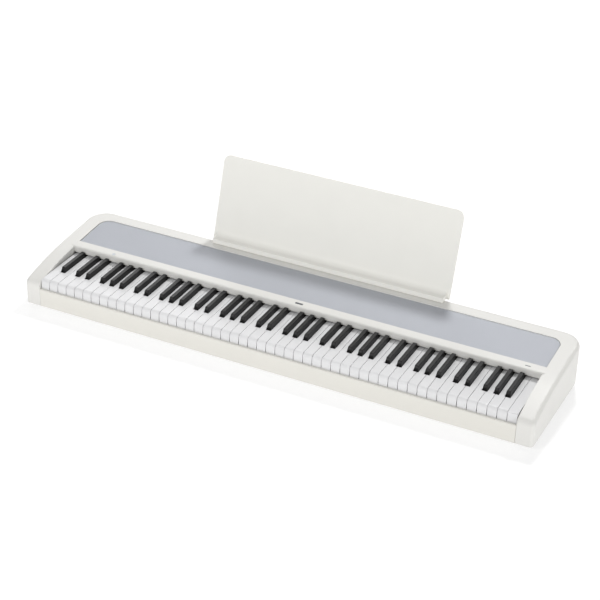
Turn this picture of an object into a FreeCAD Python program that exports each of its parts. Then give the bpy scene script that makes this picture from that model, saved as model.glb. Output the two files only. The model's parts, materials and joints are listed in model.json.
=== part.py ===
import FreeCAD, Part
import Sketcher
import math
import os
import re

# Slab digital piano with 88 weighted keys and a lift-off music rest.
# The case is drawn in its own coordinates: X runs along the keyboard from the
# middle key gap, Y runs back from the front face, Z runs up from the underside
# of the case. Each finished piece is then moved so that the row's origin is on
# the floor, in the middle of the piano's width and depth.

SIZES = {
    # case
    "case_width": 1312,
    "case_depth": 336,
    "case_height": 106,
    "overall_depth": 400,
    "foot_height": 11,
    "nose_height": 63.5,
    "nose_radius": 16,
    "crown_depth": 96.6,
    "crown_height": 87.6,
    "crown_radius": 845,
    "rear_corner_radius": 50,
    "rear_edge_radius": 9,
    "wall": 3,
    "bezel_wall": 4,
    "bezel_depth": 158,
    "bezel_bottom": 76,
    "joint_gap": 0.3,
    "boss_radius": 5.5,
    "boss_height": 60,
    "boss_hole_clearance": 1,
    # front rail and bottom board
    "rail_thickness": 6,
    "rail_height": 46.7,
    "rail_radius": 2.5,
    "board_bottom": 2,
    "board_top": 11,
    "foot_radius": 14,
    "foot_x": 560,
    "foot_front": 50,
    "foot_rear": 290,
    "insert_x": 450,
    "insert_front": 100,
    "insert_rear": 260,
    "insert_radius": 5,
    "insert_thread_radius": 2.5,
    "screw_radius": 1.6,
    "screw_head_radius": 3.2,
    "screw_head": 1.4,
    "screw_length": 18,
    # grille and speakers
    "grille_half": 615.5,
    "grille_front": 183,
    "grille_rear": 299.5,
    "grille_corner": 28,
    "grille_sheet": 1.2,
    "baffle_thickness": 4,
    "baffle_half": 628,
    "baffle_margin": 5,
    "speaker_x": 480,
    "speaker_depth": 258,
    "speaker_radius": 38,
    "speaker_hole": 33,
    "basket_rim": 2.5,
    "basket_lip": 3,
    "basket_wall": 1.2,
    "basket_depth": 20,
    "magnet_radius": 23,
    "magnet_hollow": 20.5,
    "magnet_depth": 34,
    "cone_clearance": 0.4,
    "cone_recess": 0.2,
    "cone_thickness": 1.2,
    "cone_depth": 13,
    "cone_neck": 9,
    "dust_cap_depth": 9.5,
    # keys
    "white_pitch": 23.6,
    "key_gap": 0.8,
    "c_sharp": 21.3,
    "d_sharp": 49.5,
    "f_sharp": 90.95,
    "g_sharp": 118.0,
    "a_sharp": 145.05,
    "black_slot": 13.9,
    "black_width": 12.9,
    "black_top_width": 9.8,
    "black_rise": 12,
    "black_front": 60.6,
    "black_slope": 6,
    "black_step": 3.5,
    "black_back": 155,
    "side_gap": 1.2,
    "white_front": 6.8,
    "white_notch": 59.4,
    "key_top": 71.5,
    "key_bottom": 50,
    "key_skirt": 44,
    "key_rear": 223,
    "pivot_depth": 213,
    "pivot_height": 60,
    "pivot_radius": 2,
    "running_gap": 0.05,
    "plunger_depth": 92,
    "plunger_size": 6,
    "plunger_bottom": 40.6,
    "key_side_wall": 2,
    "key_front_wall": 2.5,
    "key_roof": 2,
    "white_hollow": 24,
    "black_hollow": 16,
    "black_hollow_width": 8,
    # hammers
    "hammer_pivot_depth": 127,
    "hammer_pivot_height": 34,
    "hammer_width": 8,
    "hammer_front": 88,
    "hammer_rear": 208,
    "hammer_arm_bottom": 30,
    "hammer_arm_top": 39.6,
    "hammer_arm_back": 134,
    "hammer_weight_front": 124,
    "hammer_weight_bottom": 18,
    "hammer_weight_top": 30,
    # keyboard frame
    "frame_half": 612,
    "frame_front": 8,
    "frame_rear": 232,
    "frame_plate": 2,
    "wing_reach": 5,
    "rib_thickness": 2,
    "rib_lead": 10,
    "pivot_plate_length": 40,
    "pivot_plate_rise": 6,
    "pivot_rail_depth": 10,
    "pivot_rail_gap": 0.6,
    "guide_plate": 3,
    "post_depth": 24,
    "post_size": 6,
    "white_post_top": 58,
    "black_post_depth": 74,
    "black_post_size": 4,
    "black_post_top": 57,
    "stop_front": 37,
    "stop_depth": 14,
    "stop_height": 37,
    "stop_felt": 4.2,
    "rest_felt": 4.6,
    "rest_felt_depth": 16,
    "rest_felt_inset": 2,
    "contact_front": 148,
    "contact_depth": 30,
    "contact_bottom": 39.6,
    "contact_board": 1.6,
    "dome_radius": 3,
    "dome_height": 4.2,
    "dome_offset": 14,
    "strip_depth": 12,
    "strip_height": 1,
    # electronics and controls
    "circuit_board": 1.6,
    "standoff": 5,
    "standoff_radius": 3,
    "standoff_inset": 6,
    "jack_height": 40,
    "jack_panel": 319,
    "jack_board_left": -600,
    "jack_board_width": 230,
    "jack_board_bottom": 13,
    "jack_board_height": 48,
    "socket_height": 14,
    "phone_width": 13,
    "power_width": 12,
    "phone_radius": 3.2,
    "phone_depth": 14,
    "power_radius": 2.75,
    "power_depth": 10,
    "barrel_wall": 1.1,
    "button_x": -505,
    "button_depth": 166,
    "button_radius": 4.6,
    "button_length": 9,
    "button_stand": 0.5,
    "knob_radius": 8,
    "knob_length": 9,
    "stem_radius": 3,
    "stem_length": 10,
    "stem_start": 330,
    "sound_radius": 4,
    "sound_start": 329,
    "sound_length": 8.2,
    # music rest
    "rest_half": 318,
    "rest_top": 315,
    "rest_thickness": 4.5,
    "rest_lean": 16,
    "rest_corner": 18,
    "ledge_half": 309,
    "ledge_front": 316,
    "ledge_top": 118,
    "ledge_clearance": 0.6,
    "tongue_x": 200,
    "tongue_width": 60,
    "tongue_thickness": 4.6,
    "tongue_front": 319,
    "tongue_bottom": 92,
    "rest_foot_gap": 0.5,
    "rest_overlap": 1,
}

NOTES = ["c", "c_sharp", "d", "d_sharp", "e", "f", "f_sharp", "g", "g_sharp", "a", "a_sharp", "b"]
WHITE_STEP = {"c": 0, "d": 1, "e": 2, "f": 3, "g": 4, "a": 5, "b": 6}
SHARP_BEFORE = {"d": "c_sharp", "e": "d_sharp", "g": "f_sharp", "a": "g_sharp", "b": "a_sharp"}
SHARP_AFTER = {"c": "c_sharp", "d": "d_sharp", "f": "f_sharp", "g": "g_sharp", "a": "a_sharp"}
WHITE_KEYS_LEFT_OF_MIDDLE = 26
WHITE_KEYS_PER_OCTAVE = 7
LOWEST_NOTE = 9
KEY_COUNT = 88
HIGHEST_OCTAVE = 8
SINGLE_OCTAVE = 4

doc = FreeCAD.newDocument("digital_piano")
sheet = doc.addObject("Spreadsheet::Sheet", "Sizes")
for row, (word, value) in enumerate(SIZES.items(), start=1):
    sheet.set("A%d" % row, word)
    sheet.set("B%d" % row, str(value))
    sheet.setAlias("B%d" % row, word)
doc.recompute()

pieces = []


# ---------------------------------------------------------------- helpers

def formula(text):
    """Points every size word of an expression at its cell of the sheet."""
    return re.sub("[a-z_]+", lambda word: ("Sizes." if word.group() in SIZES else "") + word.group(), str(text))


def bind(thing, settings):
    """Binds properties to expressions on the sheet."""
    for name, text in settings.items():
        thing.setExpression(name, formula(text))


def box(corner, size):
    """A block from its low corner and its three sizes."""
    block = doc.addObject("Part::Box", "Block")
    bind(block, dict(zip(("Length", "Width", "Height"), size)))
    bind(block, dict(zip(("Placement.Base.x", "Placement.Base.y", "Placement.Base.z"), corner)))
    return block


def middle_box(middle_x, width, low, size):
    """A block centred on an X position, from its low Y and Z."""
    return box(("{} - ( {} ) / 2".format(middle_x, width), low[0], low[1]), (width, size[0], size[1]))


def rod(start, radius, length, along="z"):
    """A round bar that starts at a point and runs along +X, +Y or +Z."""
    bar = doc.addObject("Part::Cylinder", "Rod")
    turn = {"x": ((0, 1, 0), 90), "y": ((1, 0, 0), -90), "z": ((0, 0, 1), 0)}[along]
    bar.Placement = FreeCAD.Placement(FreeCAD.Vector(), FreeCAD.Rotation(FreeCAD.Vector(*turn[0]), turn[1]))
    bind(bar, {"Radius": radius, "Height": length})
    bind(bar, dict(zip(("Placement.Base.x", "Placement.Base.y", "Placement.Base.z"), start)))
    return bar


def fuse(solids):
    """One object from several solids; solids that don't touch stay separate."""
    if len(solids) == 1:
        return solids[0]
    joined = doc.addObject("Part::MultiFuse", "Joined")
    joined.Shapes = solids
    return joined


def cut(base, tools):
    """The base with every tool taken away."""
    carved = doc.addObject("Part::Cut", "Carved")
    carved.Base = base
    carved.Tool = fuse(tools)
    return carved


def keep(thing, label):
    """Names a finished piece and stands it on the row's origin."""
    thing.Label = label
    bind(thing, {"Placement.Base.y": "- overall_depth / 2", "Placement.Base.z": "foot_height"})
    pieces.append(thing)
    return thing


def gather(label, solids):
    """A finished piece from solids already in case coordinates."""
    group = doc.addObject("Part::Compound", "Group")
    group.Links = solids
    return keep(group, label)


def outline(body, name, role, corners):
    """A closed sketch of straight sides through corners given as expressions."""
    sketch = body.newObject("Sketcher::SketchObject", name)
    plane = next(part for part in body.Origin.OriginFeatures if part.Role == role)
    sketch.AttachmentSupport = (plane, [""])
    sketch.MapMode = "FlatFace"
    count = len(corners)
    rough = [FreeCAD.Vector(math.cos(2 * math.pi * i / count), math.sin(2 * math.pi * i / count), 0)
             for i in range(count)]
    for i in range(count):
        sketch.addGeometry(Part.LineSegment(rough[i], rough[(i + 1) % count]), False)
    for i in range(count):
        sketch.addConstraint(Sketcher.Constraint("Coincident", i, 2, (i + 1) % count, 1))
    for i, corner in enumerate(corners):
        for kind, value, text in (("DistanceX", rough[i].x, corner[0]), ("DistanceY", rough[i].y, corner[1])):
            place = sketch.addConstraint(Sketcher.Constraint(kind, -1, 1, i, 1, value))
            label = "{}{}".format("across" if kind == "DistanceX" else "up", i)
            sketch.renameConstraint(place, label)
            bind(sketch, {"Constraints." + label: text})
    return sketch


def prism(name, role, corners, length, symmetric=True):
    """A PartDesign body padded from one closed outline."""
    body = doc.addObject("PartDesign::Body", name)
    sketch = outline(body, name + "_outline", role, corners)
    pad = body.newObject("PartDesign::Pad", name + "_pad")
    pad.Profile = sketch
    pad.SideType = "Symmetric" if symmetric else "One side"
    bind(pad, {"Length": length})
    doc.recompute()
    return body


def round_edges(body, name, radius, chosen):
    """Fillets the edges of the body's last shape that pass the chosen test."""
    last = body.Tip
    names = ["Edge%d" % (i + 1) for i, edge in enumerate(last.Shape.Edges) if chosen(edge)]
    fillet = body.newObject("PartDesign::Fillet", name)
    fillet.Base = (last, names)
    bind(fillet, {"Radius": radius})
    doc.recompute()
    return fillet


def middle_of(edge):
    return edge.valueAt((edge.FirstParameter + edge.LastParameter) / 2)


def size(word):
    return float(sheet.get(word))


def near(value, target, slack=0.5):
    return abs(value - target) < slack


def is_upright(edge):
    first, last = edge.Vertexes[0].Point, edge.Vertexes[-1].Point
    return near(first.x, last.x) and near(first.y, last.y) and edge.Length > 1


# The flat rear part of the top slopes up towards the back at this angle.
PANEL_SLOPE = "(case_height - crown_height) / (case_depth - crown_depth)"
PANEL_ANGLE = "atan(" + PANEL_SLOPE + ")"
KEYBOARD_HALF = "({} * white_pitch + side_gap)".format(WHITE_KEYS_LEFT_OF_MIDDLE)


def panel_height(depth):
    """Height of the flat top panel over a depth."""
    return "(case_height - (case_depth - ({})) * {})".format(depth, PANEL_SLOPE)


def on_panel(thing, across, depth, lift):
    """Tilts a piece with the top panel and moves its own origin to a point over it."""
    bind(thing, {
        "Placement.Rotation.Angle": PANEL_ANGLE,
        "Placement.Rotation.Axis.x": 1,
        "Placement.Rotation.Axis.y": 0,
        "Placement.Rotation.Axis.z": 0,
        "Placement.Base.x": across,
        "Placement.Base.y": "{} - ({}) * sin({})".format(depth, lift, PANEL_ANGLE),
        "Placement.Base.z": "{} + ({}) * cos({})".format(panel_height(depth), lift, PANEL_ANGLE),
    })
    return thing


# ---------------------------------------------------------------- case

SIDE_BOSSES = [(side, depth) for side in (-1, 1) for depth in (40, 110, 250)]
REAR_BOSSES = (-340, -110, 110, 340)
REAR_BOSS_DEPTH = 328.5
SIDE_BOSS_X = 648

# Cutting tools start and end this far outside what they cut.
CUT_BELOW = -5
CUT_TALL = 300
CUT_THROUGH = 40

SCREW_PLACES = [(side * SIDE_BOSS_X, depth) for side, depth in SIDE_BOSSES]
SCREW_PLACES += [(across, REAR_BOSS_DEPTH) for across in REAR_BOSSES]

# Sockets and controls along the left of the rear wall, with their holes.
POWER_X = -580
PEDAL_X = -540
PHONES_X = (-505, -475)
VOLUME_X = -430
SOUND_X = -395
PHONE_HOLE = "phone_radius + barrel_wall + joint_gap"
REAR_HOLES = [(across, PHONE_HOLE) for across in (PEDAL_X,) + PHONES_X]
REAR_HOLES += [(POWER_X, "power_radius + barrel_wall + joint_gap"),
               (VOLUME_X, "stem_radius + joint_gap"), (SOUND_X, "sound_radius + joint_gap")]


def grille_outline(name, inset, thickness):
    """A plate with the grille's outline: square in front, rounded behind."""
    length = "((grille_rear - grille_front) / cos({}) - {})".format(PANEL_ANGLE, inset)
    half = "(grille_half - {})".format(inset)
    corners = [("-" + half, inset), (half, inset), (half, length), ("-" + half, length)]
    body = prism(name, "XY_Plane", corners, thickness, symmetric=False)
    round_edges(body, name + "_corners", "grille_corner - {}".format(inset),
                lambda edge: is_upright(edge) and middle_of(edge).y > 50)
    return body


def screw_holes():
    return [rod((x, y, CUT_BELOW), "screw_radius", "board_bottom + screw_length - ({})".format(CUT_BELOW))
            for x, y in SCREW_PLACES]


def make_top_case():
    outer = prism("case_outer", "YZ_Plane", [
        (0, 0), (0, "nose_height"), ("crown_depth", "crown_height"),
        ("case_depth", "case_height"), ("case_depth", 0)], "case_width")
    round_edges(outer, "rear_corners", "rear_corner_radius",
                lambda edge: is_upright(edge) and near(middle_of(edge).y, size("case_depth")))
    round_edges(outer, "crown", "crown_radius",
                lambda edge: near(middle_of(edge).x, 0) and near(middle_of(edge).z, size("crown_height")))
    round_edges(outer, "nose", "nose_radius",
                lambda edge: near(middle_of(edge).x, 0) and near(middle_of(edge).y, 0)
                and near(middle_of(edge).z, size("nose_height")))
    round_edges(outer, "rear_top", "rear_edge_radius",
                lambda edge: near(middle_of(edge).x, 0) and near(middle_of(edge).z, size("case_height"))
                and near(middle_of(edge).y, size("case_depth")))

    roof = panel_height("{}") + " - wall / cos(" + PANEL_ANGLE + ")"
    front, back = "bezel_depth + bezel_wall", "case_depth - wall"
    inner = prism("case_inner", "YZ_Plane", [
        ("bezel_depth - 1", CUT_BELOW), ("bezel_depth - 1", "bezel_bottom"), (front, "bezel_bottom"),
        (front, roof.format(front)), (back, roof.format(back)), (back, CUT_BELOW)], "case_width - 2 * wall")
    round_edges(inner, "inner_corners", "rear_corner_radius - wall",
                lambda edge: is_upright(edge) and near(middle_of(edge).y, size("case_depth") - size("wall")))

    tools = [inner]
    cheek = "(case_width / 2 - {})".format(KEYBOARD_HALF)
    for side in (-1, 1):
        hollow = prism("cheek_hollow", "YZ_Plane", [
            ("wall", CUT_BELOW), ("wall", "nose_height - nose_radius"), ("nose_radius + wall", "nose_height"),
            ("bezel_depth", "crown_height - wall"), ("bezel_depth", CUT_BELOW)], cheek + " - 2 * wall")
        bind(hollow, {"Placement.Base.x": "{} * (case_width / 2 - {} / 2)".format(side, cheek)})
        tools.append(hollow)
    tools.append(box(("wall - case_width / 2", "rail_thickness", CUT_BELOW),
                     ("case_width - 2 * wall", "bezel_depth - rail_thickness", "board_top - ({})".format(CUT_BELOW))))
    tools.append(box(("-" + KEYBOARD_HALF, CUT_BELOW, CUT_BELOW),
                     ("2 * " + KEYBOARD_HALF, "bezel_depth - ({})".format(CUT_BELOW), CUT_TALL)))
    opening = grille_outline("grille_opening", "0", CUT_THROUGH)
    tools.append(on_panel(opening, 0, "grille_front", -CUT_THROUGH / 2))
    for side in (-1, 1):
        tools.append(middle_box("{} * tongue_x".format(side), "tongue_width + 2 * joint_gap",
                                ("tongue_front - joint_gap", "tongue_bottom"),
                                ("tongue_thickness + 2 * joint_gap", CUT_THROUGH)))
    button_hole = rod((0, 0, 0), "button_radius + joint_gap", CUT_THROUGH / 2)
    tools.append(on_panel(button_hole, "button_x", "button_depth", -CUT_THROUGH / 4))
    for across, radius in REAR_HOLES:
        tools.append(rod((across, "case_depth - 2 * wall", "jack_height"), radius, CUT_THROUGH, along="y"))
    shell = cut(outer, tools)

    bosses = [rod((x, y, "board_top"), "boss_radius", "boss_height - board_top") for x, y in SCREW_PLACES]
    keep(cut(fuse([shell] + bosses), screw_holes()), "top_case")


def make_bottom_board():
    gap = "(wall + joint_gap)"
    half = "(case_width / 2 - {})".format(gap)
    body = prism("board", "XY_Plane", [
        ("-" + half, "rail_thickness + joint_gap"), (half, "rail_thickness + joint_gap"),
        (half, "case_depth - " + gap), ("-" + half, "case_depth - " + gap)],
        "board_top - board_bottom", symmetric=False)
    round_edges(body, "board_corners", "rear_corner_radius - " + gap,
                lambda edge: is_upright(edge) and middle_of(edge).y > 100)
    bind(body, {"Placement.Base.z": "board_bottom"})
    holes = screw_holes()
    for x, y in insert_places():
        holes.append(rod((x, y, CUT_BELOW), "insert_radius", CUT_THROUGH))
    keep(cut(body, holes), "bottom_board")


def insert_places():
    return [("{} * insert_x".format(side), depth) for side in (-1, 1) for depth in ("insert_front", "insert_rear")]


def make_stand_inserts():
    sleeves = []
    for x, y in insert_places():
        sleeve = rod((x, y, "board_bottom"), "insert_radius", "board_top - board_bottom")
        sleeves.append(cut(sleeve, [rod((x, y, CUT_BELOW), "insert_thread_radius", CUT_THROUGH)]))
    gather("stand_inserts", sleeves)


def make_rubber_feet():
    feet = [rod(("{} * foot_x".format(side), depth, "- foot_height"), "foot_radius", "foot_height + board_bottom")
            for side in (-1, 1) for depth in ("foot_front", "foot_rear")]
    gather("rubber_feet", feet)


def make_case_screws():
    screws = []
    for x, y in SCREW_PLACES:
        head = rod((x, y, "board_bottom - screw_head"), "screw_head_radius", "screw_head")
        shank = rod((x, y, "board_bottom"), "screw_radius", "screw_length - boss_hole_clearance")
        screws.append(fuse([head, shank]))
    gather("case_screws", screws)


def make_front_rail():
    body = prism("rail", "YZ_Plane", [
        (0, 0), (0, "rail_height"), ("rail_thickness", "rail_height"), ("rail_thickness", 0)],
        "2 * ({} - joint_gap)".format(KEYBOARD_HALF))
    round_edges(body, "rail_nose", "rail_radius",
                lambda edge: near(middle_of(edge).x, 0) and near(middle_of(edge).y, 0)
                and near(middle_of(edge).z, size("rail_height")))
    keep(body, "front_rail")


# ---------------------------------------------------------------- grille and speakers

def make_grille():
    sheet_metal = grille_outline("grille_sheet_metal", "joint_gap", "grille_sheet")
    on_panel(sheet_metal, 0, "grille_front", "- wall")
    gather("speaker_grille", [sheet_metal])


def make_baffle():
    length = "(grille_rear - grille_front) / cos({}) + 2 * baffle_margin".format(PANEL_ANGLE)
    plate = box(("- baffle_half", "- baffle_margin", 0), ("2 * baffle_half", length, "baffle_thickness"))
    centre = "(speaker_depth - grille_front) / cos({})".format(PANEL_ANGLE)
    holes = [rod(("{} * speaker_x".format(side), centre, CUT_BELOW), "speaker_hole", CUT_THROUGH)
             for side in (-1, 1)]
    baffle = on_panel(cut(plate, holes), 0, "grille_front", "- wall - baffle_thickness")
    gather("speaker_baffle", [baffle])


def turned(name, corners):
    """A PartDesign body turned about its Z axis from a half section."""
    body = doc.addObject("PartDesign::Body", name)
    sketch = outline(body, name + "_section", "XZ_Plane", corners)
    turn = body.newObject("PartDesign::Revolution", name + "_turn")
    turn.Profile = sketch
    turn.ReferenceAxis = (sketch, ["V_Axis"])
    turn.Angle = 360
    doc.recompute()
    return body


def make_speaker(side, name):
    frame = turned(name + "_basket", [
        ("speaker_hole", 0), ("speaker_radius", 0), ("speaker_radius", "- basket_rim"),
        ("speaker_radius - basket_lip", "- basket_rim"), ("magnet_radius", "- basket_depth"),
        ("magnet_radius", "- magnet_depth"), (0, "- magnet_depth"), (0, "- basket_depth"),
        ("magnet_hollow", "- basket_depth"), ("speaker_hole", "- basket_wall")])
    rim = "speaker_hole - cone_clearance"
    cone = turned(name + "_diaphragm", [
        (rim, "- cone_recess"), (rim, "- cone_recess - cone_thickness"),
        ("cone_neck", "- cone_depth"), (0, "- dust_cap_depth"),
        (0, "cone_thickness - dust_cap_depth"), ("cone_neck", "cone_thickness - cone_depth")])
    for thing, label in ((frame, name + "_frame"), (cone, name + "_cone")):
        on_panel(thing, "{} * speaker_x".format(side), "speaker_depth", "- wall - baffle_thickness")
        gather(label, [thing])


# ---------------------------------------------------------------- keys and hammers

def octave_edge(octave):
    """The left edge of an octave's C; two white keys come before the first C."""
    return "{} * white_pitch".format(WHITE_KEYS_PER_OCTAVE * (octave - 1) + 2 - WHITE_KEYS_LEFT_OF_MIDDLE)


def key_list():
    """Every key from A0 to C8: note, octave, and the expressions of its edges."""
    keys = []
    for number in range(LOWEST_NOTE, LOWEST_NOTE + KEY_COUNT):
        octave, step = divmod(number, len(NOTES))
        note = NOTES[step]
        edge = octave_edge(octave)
        first, last = number == LOWEST_NOTE, number == LOWEST_NOTE + KEY_COUNT - 1
        key = {"note": note, "octave": octave, "white": note in WHITE_STEP}
        if key["white"]:
            left = "({} + {} * white_pitch + key_gap / 2)".format(edge, WHITE_STEP[note])
            key["left"], key["right"] = left, "({} + white_pitch - key_gap)".format(left)
            key["tail_left"], key["tail_right"] = key["left"], key["right"]
            if note in SHARP_BEFORE and not first:
                key["tail_left"] = "({} + {} + black_slot / 2)".format(edge, SHARP_BEFORE[note])
            if note in SHARP_AFTER and not last:
                key["tail_right"] = "({} + {} - black_slot / 2)".format(edge, SHARP_AFTER[note])
            key["middle"] = "(({} + {}) / 2)".format(key["tail_left"], key["tail_right"])
            key["head_middle"] = "(({} + {}) / 2)".format(key["left"], key["right"])
        else:
            key["middle"] = "({} + {})".format(edge, note)
        keys.append(key)
    return keys


KEYS = key_list()


def plunger(key, top):
    """The rib under a key that pushes its hammer down."""
    return middle_box(key["middle"], "plunger_size", ("plunger_depth - plunger_size / 2", "plunger_bottom"),
                      ("plunger_size", "{} - plunger_bottom + 1".format(top)))


def white_key(key):
    """The solids that make a white key, and the hollow under its head."""
    height = "key_top - key_bottom"
    head = box((key["left"], "white_front", "key_bottom"),
               ("white_pitch - key_gap", "white_notch - white_front", height))
    skirt = box((key["left"], "white_front", "key_skirt"),
                ("white_pitch - key_gap", "key_front_wall", "key_top - key_skirt"))
    tail = box((key["tail_left"], "white_notch - 1", "key_bottom"),
               ("{} - {}".format(key["tail_right"], key["tail_left"]), "key_rear - white_notch + 1", height))
    hollow = box((key["left"] + " + key_side_wall", "white_front + key_front_wall", "key_bottom - key_roof"),
                 ("white_pitch - key_gap - 2 * key_side_wall", "white_hollow", "key_top - key_bottom"))
    return [head, skirt, tail, plunger(key, "key_bottom")], hollow


def black_key(key):
    """The solids that make a black key, and the hollow under it."""
    base_top = "(key_top - black_step)"
    base_bottom = "(key_bottom + key_roof)"
    base = middle_box(key["middle"], "black_width", ("black_front", base_bottom),
                      ("key_rear - black_front", "{} - {}".format(base_top, base_bottom)))
    cap = doc.addObject("Part::Wedge", "Cap")
    cap.Placement = FreeCAD.Placement(FreeCAD.Vector(), FreeCAD.Rotation(FreeCAD.Vector(1, 0, 0), 90))
    bind(cap, {
        "Xmin": "- black_width / 2", "Xmax": "black_width / 2",
        "X2min": "- black_top_width / 2", "X2max": "black_top_width / 2",
        "Ymin": 0, "Ymax": "black_rise + black_step",
        "Zmin": 0, "Zmax": "black_back - black_front",
        "Z2min": 0, "Z2max": "black_back - black_front - black_slope",
        "Placement.Base.x": key["middle"], "Placement.Base.y": "black_back", "Placement.Base.z": base_top,
    })
    hollow = middle_box(key["middle"], "black_hollow_width", ("black_post_depth - black_hollow / 2", "key_bottom"),
                        ("black_hollow", "black_hollow"))
    return [base, cap, plunger(key, base_bottom)], hollow


def make_keys(label, keys, white):
    """One node of keys: solids with their hollows and the pivot hole cut out."""
    solids, holes = [], []
    for key in keys:
        if key["white"] != white:
            continue
        parts, hollow = white_key(key) if white else black_key(key)
        solids.append(fuse(parts))
        holes.append(hollow)
    holes.append(rod(("- case_width / 2", "pivot_depth", "pivot_height"), "pivot_radius + running_gap",
                     "case_width", along="x"))
    keep(cut(fuse(solids), holes), label)


def make_hammers(label, keys):
    """One node of hammers, each under the tail of its key."""
    solids = []
    for key in keys:
        arm = middle_box(key["middle"], "hammer_width", ("hammer_front", "hammer_arm_bottom"),
                         ("hammer_arm_back - hammer_front", "hammer_arm_top - hammer_arm_bottom"))
        weight = middle_box(key["middle"], "hammer_width", ("hammer_weight_front", "hammer_weight_bottom"),
                            ("hammer_rear - hammer_weight_front", "hammer_weight_top - hammer_weight_bottom"))
        solids.append(fuse([arm, weight]))
    hole = rod(("- case_width / 2", "hammer_pivot_depth", "hammer_pivot_height"), "pivot_radius + running_gap",
               "case_width", along="x")
    keep(cut(fuse(solids), [hole]), label)


def make_keyboard():
    bass = [key for key in KEYS if key["octave"] < SINGLE_OCTAVE]
    treble = [key for key in KEYS if key["octave"] > SINGLE_OCTAVE]
    for name, group in (("bass", bass), ("treble", treble)):
        make_keys(name + "_white_keys", group, True)
        make_keys(name + "_black_keys", group, False)
        make_hammers(name + "_hammers", group)
    for key in KEYS:
        if key["octave"] == SINGLE_OCTAVE:
            name = "{}{}".format(key["note"], SINGLE_OCTAVE)
            make_keys("key_" + name, [key], key["white"])
            make_hammers("hammer_" + name, [key])


# ---------------------------------------------------------------- keyboard frame

def make_key_chassis():
    plate_top = "(board_top + frame_plate)"
    plate = box(("- frame_half", "frame_front", "board_top"),
                ("2 * frame_half", "frame_rear - frame_front", "frame_plate"))
    wing = box(("- frame_half - wing_reach", "bezel_depth + bezel_wall", "board_top"),
               ("2 * (frame_half + wing_reach)", "frame_rear - bezel_depth - bezel_wall", "frame_plate"))
    stop = box(("- frame_half", "stop_front", plate_top),
               ("2 * frame_half", "stop_depth", "stop_height - " + plate_top))
    solids = [plate, wing, stop]
    rib_low = ("hammer_pivot_depth - rib_lead", plate_top)
    rib_size = ("contact_front + contact_depth - hammer_pivot_depth + rib_lead", "contact_bottom - " + plate_top)
    rib_places = ["rib_thickness * 3 / 4 - frame_half", "frame_half - rib_thickness * 3 / 4"]
    rib_places += [octave_edge(octave) for octave in range(1, HIGHEST_OCTAVE + 1)]
    solids += [middle_box(place, "rib_thickness", rib_low, rib_size) for place in rib_places]
    for side in (-1, 1):
        solids.append(middle_box("{} * (frame_half + wing_reach - rib_thickness / 2)".format(side), "rib_thickness",
                                 ("frame_rear - pivot_plate_length", "board_top"),
                                 ("pivot_plate_length", "pivot_height + pivot_plate_rise - board_top")))
    holes = [rod(("- case_width / 2", depth, height), "pivot_radius", "case_width", along="x")
             for depth, height in (("hammer_pivot_depth", "hammer_pivot_height"), ("pivot_depth", "pivot_height"))]
    keep(cut(fuse(solids), holes), "key_chassis")


def make_pivots():
    plate_top = "(board_top + frame_plate)"
    rail = box(("- frame_half", "frame_rear - 2 * pivot_rail_depth", plate_top),
               ("2 * frame_half", "pivot_rail_depth", "key_bottom - pivot_rail_gap - " + plate_top))
    gather("key_pivot_rail", [rail])
    gather("key_pivot_shaft", [rod(("- frame_half - wing_reach", "pivot_depth", "pivot_height"), "pivot_radius",
                                   "2 * (frame_half + wing_reach)", "x")])
    gather("hammer_pivot_shaft", [rod(("- frame_half", "hammer_pivot_depth", "hammer_pivot_height"),
                                      "pivot_radius", "2 * frame_half", "x")])


def make_key_guides():
    floor = "(board_top + frame_plate)"
    plate = ("2 * frame_half", "2 * post_size", "guide_plate")
    white_row = [box(("- frame_half", "post_depth - post_size", floor), plate)]
    black_row = [box(("- frame_half", "black_post_depth - post_size", floor), plate)]
    for key in KEYS:
        if key["white"]:
            white_row.append(middle_box(key["head_middle"], "post_size", ("post_depth - post_size / 2", floor),
                                        ("post_size", "white_post_top - " + floor)))
        else:
            black_row.append(middle_box(key["middle"], "black_post_size",
                                        ("black_post_depth - black_post_size / 2", floor),
                                        ("black_post_size", "black_post_top - " + floor)))
    gather("key_guides", [fuse(white_row), fuse(black_row)])


def make_felts():
    floor = "(board_top + frame_plate)"
    gather("key_stop_felt", [box(("- frame_half", "stop_front", "stop_height"),
                                 ("2 * frame_half", "stop_depth", "stop_felt"))])
    gather("hammer_rest_felt", [box(("- frame_half", "hammer_rear - rest_felt_inset - rest_felt_depth", floor),
                                    ("2 * frame_half", "rest_felt_depth", "rest_felt"))])


def make_contacts():
    top = "(contact_bottom + contact_board)"
    gather("contact_board", [box(("- frame_half", "contact_front", "contact_bottom"),
                                 ("2 * frame_half", "contact_depth", "contact_board"))])
    domes = [rod((key["middle"], "contact_front + dome_offset", top), "dome_radius", "dome_height + strip_height")
             for key in KEYS]
    strip = box(("- frame_half", "contact_front + dome_offset - strip_depth / 2", top),
                ("2 * frame_half", "strip_depth", "strip_height"))
    gather("contact_rubber", [fuse([strip] + domes)])


# ---------------------------------------------------------------- electronics and controls

# Each board: its left and front edges, its width and depth, and the blocks on it
# as (offset across, offset back, width, depth, height).
MAIN_BOARD = (-300, 246, 230, 66, [(30, 20, 28, 28, 4), (90, 24, 18, 14, 3), (150, 10, 40, 12, 9)])
AMPLIFIER_BOARD = (60, 246, 150, 66, [(20, 14, 50, 20, 30), (90, 18, 16, 16, 22), (112, 18, 16, 16, 22)])


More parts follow.
